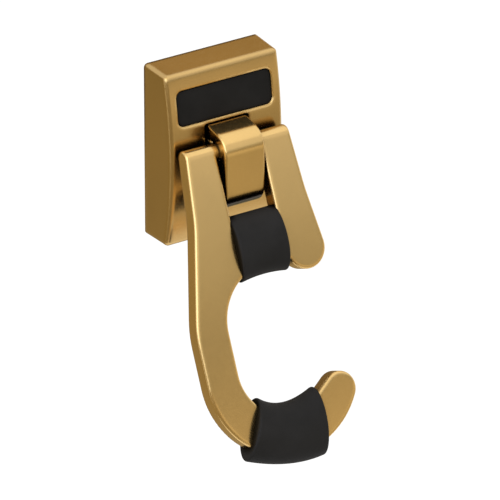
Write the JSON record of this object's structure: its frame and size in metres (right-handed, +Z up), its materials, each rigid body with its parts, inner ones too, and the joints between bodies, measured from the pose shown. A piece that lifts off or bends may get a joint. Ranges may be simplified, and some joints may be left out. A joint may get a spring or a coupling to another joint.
{
  "type": "gravity grip broom hook",
  "caption": "Wall hook with a hinged C-shaped brass plate and rubber grips that pinch a broom or mop handle by its own weight.",
  "frame": {"origin": "centre of the wall plate's flat rear, in the wall plane", "axes": "+X to the right seen from the front, +Y into the wall, +Z up"},
  "size_m": [0.0533, 0.0654, 0.1227],
  "materials": {
    "satin_brass": "fine brushed satin brass",
    "black_rubber": "matte black rubber",
    "screw_steel": "zinc-plated steel"
  },
  "bodies": {
    "wall_mount": {"backplate": "satin_brass", "cover_insert": "black_rubber", "hanger_bracket": "satin_brass", "bracket_screw_left": "screw_steel", "bracket_screw_right": "screw_steel"},
    "hook": {"hook_plate": "satin_brass", "upper_grip": "black_rubber", "lower_grip": "black_rubber"}
  },
  "joints": [
    {"name": "hook_swing", "type": "hinge", "parent": "wall_mount", "child": "hook", "pos_m": [0, -0.02, 0.0036], "axis": [-1, 0, 0], "range_deg": [0, 150]}
  ]
}
